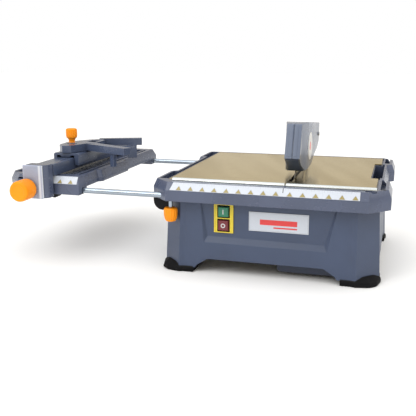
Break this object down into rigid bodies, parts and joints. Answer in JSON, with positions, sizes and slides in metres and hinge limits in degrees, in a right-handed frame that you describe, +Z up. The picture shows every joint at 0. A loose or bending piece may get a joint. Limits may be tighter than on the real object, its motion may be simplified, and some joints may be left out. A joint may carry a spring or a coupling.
{
  "type": "tile cutter",
  "caption": "Table-top wet tile cutter: blade through a polished table under a hinged guard, water tray below, sliding extension with rip fence and swivelling mitre guide.",
  "frame": {"origin": "centre of the object's plan, on the floor it stands on", "axes": "+X to the right along the table's front, away from the extension; +Y to the rear; +Z up"},
  "size_m": [0.831, 0.534, 0.3065],
  "materials": {
    "slate_plastic": "moulded ABS with a fine texture, blue-grey",
    "grey_plastic": "moulded ABS, blue-grey, slightly lighter",
    "pale_plastic": "pale lavender-grey ribbed face",
    "orange_plastic": "satin orange",
    "black_plastic": "black moulded",
    "rubber": "matt black",
    "yellow_plastic": "satin yellow",
    "green_plastic": "satin green",
    "red_plastic": "satin dark red",
    "label": "printed white film",
    "polished_steel": "polished sheet with faint directional grain",
    "chrome": "polished",
    "aluminium": "satin",
    "steel": "machined",
    "blade_steel": "ground disc with a sintered diamond rim",
    "copper": "wound stator"
  },
  "bodies": {
    "base": {"base_housing": "slate_plastic", "foot_front_left": "rubber", "foot_front_right": "rubber", "foot_rear_left": "rubber", "foot_rear_right": "rubber", "switch_plate": "yellow_plastic", "switch_box": "black_plastic", "label_plate": "label", "cable_gland": "black_plastic", "water_tray": "slate_plastic", "drain_plug": "rubber", "motor_can": "steel", "motor_end_plate": "aluminium", "stator": "copper", "bearing_rear": "steel", "bearing_front": "steel", "motor_bracket": "steel", "knife_block": "aluminium", "riving_knife": "steel", "knife_bolt_front": "steel", "knife_bolt_rear": "steel", "table_frame": "grey_plastic", "table_plate": "polished_steel", "front_rail": "aluminium", "table_ruler": "label", "table_screw_1": "steel", "table_screw_2": "steel", "table_screw_3": "steel", "table_screw_4": "steel", "clamp_lug": "black_plastic"},
    "spindle": {"spindle": "steel", "rotor": "steel", "cooling_fan": "black_plastic", "inner_flange": "steel", "blade": "blade_steel", "outer_flange": "steel", "arbor_nut": "steel"},
    "guard": {"guard_left": "grey_plastic", "guard_right": "grey_plastic", "guard_nose": "slate_plastic", "guard_pivot_pin": "steel"},
    "start_button": {"start_button": "green_plastic"},
    "stop_button": {"stop_button": "red_plastic"},
    "rod_clamp": {"rod_clamp_knob": "orange_plastic", "rod_clamp_screw": "chrome"},
    "extension": {"extension_frame": "grey_plastic", "guide_rod_front": "chrome", "guide_rod_rear": "chrome", "extension_ruler": "label", "extension_lug": "black_plastic"},
    "fence": {"fence_bar": "slate_plastic", "fence_head": "slate_plastic", "fence_face": "pale_plastic", "fence_rear_foot": "black_plastic"},
    "fence_knob": {"fence_knob": "orange_plastic", "fence_clamp_screw": "steel"},
    "saddle": {"mitre_saddle": "slate_plastic"},
    "mitre": {"mitre_head": "grey_plastic"},
    "mitre_knob": {"mitre_knob": "orange_plastic", "mitre_screw": "steel"}
  },
  "joints": [
    {"name": "spindle_spin", "type": "hinge", "parent": "base", "child": "spindle", "pos_m": [0.2115, 0.032, 0.128], "axis": [1, 0, 0], "continuous": true},
    {"name": "guard_lift", "type": "hinge", "parent": "base", "child": "guard", "pos_m": [0.2115, 0.141, 0.263], "axis": [-1, 0, 0], "range_deg": [0, 40]},
    {"name": "start_press", "type": "slide", "parent": "base", "child": "start_button", "axis": [0, 1, 0], "range_m": [0, 0.003], "stiffness_N_per_m": 300, "springref_m": -0.001},
    {"name": "stop_press", "type": "slide", "parent": "base", "child": "stop_button", "axis": [0, 1, 0], "range_m": [0, 0.003], "stiffness_N_per_m": 300, "springref_m": -0.001},
    {"name": "rod_clamp_turn", "type": "hinge", "parent": "base", "child": "rod_clamp", "pos_m": [-0.0265, -0.173, 0.12], "axis": [0, 0, 1], "range_deg": [0, 360]},
    {"name": "extension_slide", "type": "slide", "parent": "base", "child": "extension", "axis": [1, 0, 0], "range_m": [-0.02, 0.145]},
    {"name": "fence_slide", "type": "slide", "parent": "extension", "child": "fence", "axis": [1, 0, 0], "range_m": [-0.028, 0.05]},
    {"name": "fence_knob_turn", "type": "hinge", "parent": "fence", "child": "fence_knob", "pos_m": [-0.3275, -0.243, 0.171], "axis": [0, 1, 0], "range_deg": [0, 360]},
    {"name": "saddle_slide", "type": "slide", "parent": "fence", "child": "saddle", "axis": [0, 1, 0], "range_m": [-0.06, 0.24]},
    {"name": "mitre_swivel", "type": "hinge", "parent": "saddle", "child": "mitre", "pos_m": [-0.3105, -0.057, 0.23], "axis": [0, 0, 1], "range_deg": [-25, 25]},
    {"name": "mitre_knob_turn", "type": "hinge", "parent": "mitre", "child": "mitre_knob", "pos_m": [-0.3105, -0.057, 0.25], "axis": [0, 0, 1], "range_deg": [0, 360]}
  ]
}
